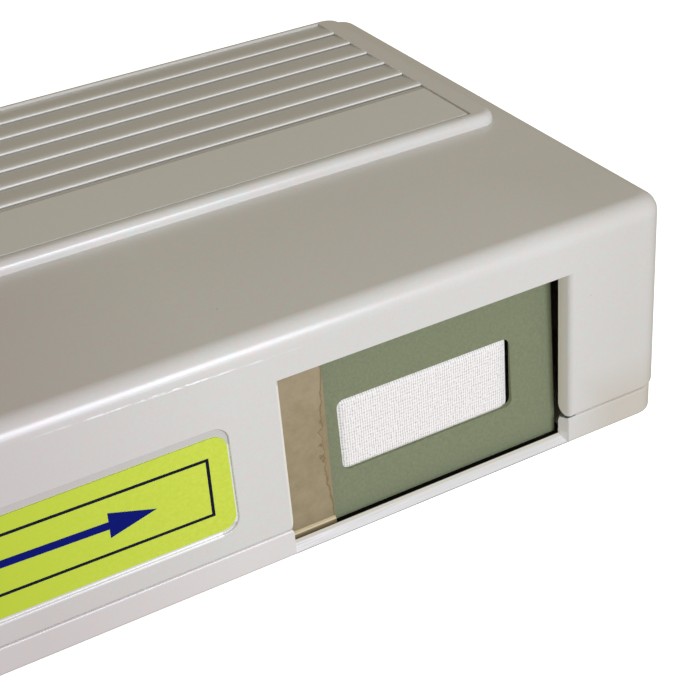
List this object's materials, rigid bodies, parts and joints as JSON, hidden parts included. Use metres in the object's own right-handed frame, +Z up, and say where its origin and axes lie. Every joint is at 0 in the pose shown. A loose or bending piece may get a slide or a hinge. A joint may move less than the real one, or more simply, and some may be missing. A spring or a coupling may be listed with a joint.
{
  "type": "fibre optic cleaning cassette",
  "caption": "Hand-held cassette with a lever-driven shutter over a window of cleaning tape, for wiping the end faces of fibre connectors.",
  "frame": {"origin": "middle of the underside of the case", "axes": "+X along the window side, +Y from the window face to the back, +Z up"},
  "size_m": [0.115, 0.079, 0.0326],
  "materials": {
    "case_plastic": "semi-gloss off-white moulded ABS",
    "label_lime": "printed film label, satin",
    "label_strip": "plain film label, matt",
    "plate_sage": "matt moulded plastic",
    "shutter_tan": "matt plastic sheet",
    "tape_cloth": "fine white woven microfibre",
    "pad_rubber": "soft rubber",
    "inner_plastic": "natural acetal, matt",
    "steel": "bright steel wire and pins",
    "felt": "grey felt"
  },
  "bodies": {
    "case": {"upper_shell": "case_plastic", "base_shell": "case_plastic", "case_screws": "steel", "front_label": "label_lime", "top_label": "label_strip", "window_plate": "plate_sage", "lever_pin": "steel", "lever_spring": "steel", "take_up_clip": "steel", "supply_clip": "steel", "drag_washer": "felt", "cleaning_tape": "tape_cloth", "presser_pad": "pad_rubber", "pad_holder": "inner_plastic", "guide_pin_left": "steel", "guide_pin_right": "steel"},
    "lever": {"lever": "case_plastic"},
    "feed_arm": {"feed_arm": "inner_plastic"},
    "shutter": {"shutter": "shutter_tan"},
    "take_up": {"take_up_reel": "inner_plastic", "used_tape": "tape_cloth", "clutch_spring": "steel"},
    "supply": {"supply_reel": "inner_plastic", "fresh_tape": "tape_cloth"},
    "roller_left": {"guide_roller_left": "inner_plastic"},
    "roller_right": {"guide_roller_right": "inner_plastic"}
  },
  "joints": [
    {"name": "lever_press", "type": "hinge", "parent": "case", "child": "lever", "pos_m": [-0.05, 0.031, 0.015], "axis": [0, 0, -1], "range_deg": [0, 14.6], "stiffness_Nm_per_rad": 0.15, "springref_deg": 31.51, "deforming": ["lever_spring"]},
    {"name": "feed_arm_swing", "type": "hinge", "parent": "case", "child": "feed_arm", "pos_m": [-0.0155, 0.008, 0.0044], "axis": [0, 0, 1], "range_deg": [0, 45.25]},
    {"name": "shutter_slide", "type": "slide", "parent": "case", "child": "shutter", "axis": [1, 0, 0], "range_m": [0, 0.0325]},
    {"name": "take_up_spin", "type": "hinge", "parent": "case", "child": "take_up", "pos_m": [-0.0155, 0.008, 0.012], "axis": [0, 0, -1], "continuous": true},
    {"name": "supply_spin", "type": "hinge", "parent": "case", "child": "supply", "pos_m": [0.03, 0.01, 0.012], "axis": [0, 0, -1], "continuous": true},
    {"name": "roller_left_spin", "type": "hinge", "parent": "case", "child": "roller_left", "pos_m": [0.0075, -0.0322, 0.012], "axis": [0, 0, -1], "continuous": true},
    {"name": "roller_right_spin", "type": "hinge", "parent": "case", "child": "roller_right", "pos_m": [0.0352, -0.0293, 0.012], "axis": [0, 0, -1], "continuous": true}
  ],
  "couplings": [
    {"joint": "feed_arm_swing", "follows": "lever_press", "ratio": 3.0953},
    {"joint": "shutter_slide", "follows": "lever_press", "m_per_rad": 0.12739},
    {"joint": "supply_spin", "follows": "take_up_spin", "ratio": 0.6703},
    {"joint": "roller_left_spin", "follows": "take_up_spin", "ratio": 4.5185},
    {"joint": "roller_right_spin", "follows": "take_up_spin", "ratio": 4.5185}
  ]
}
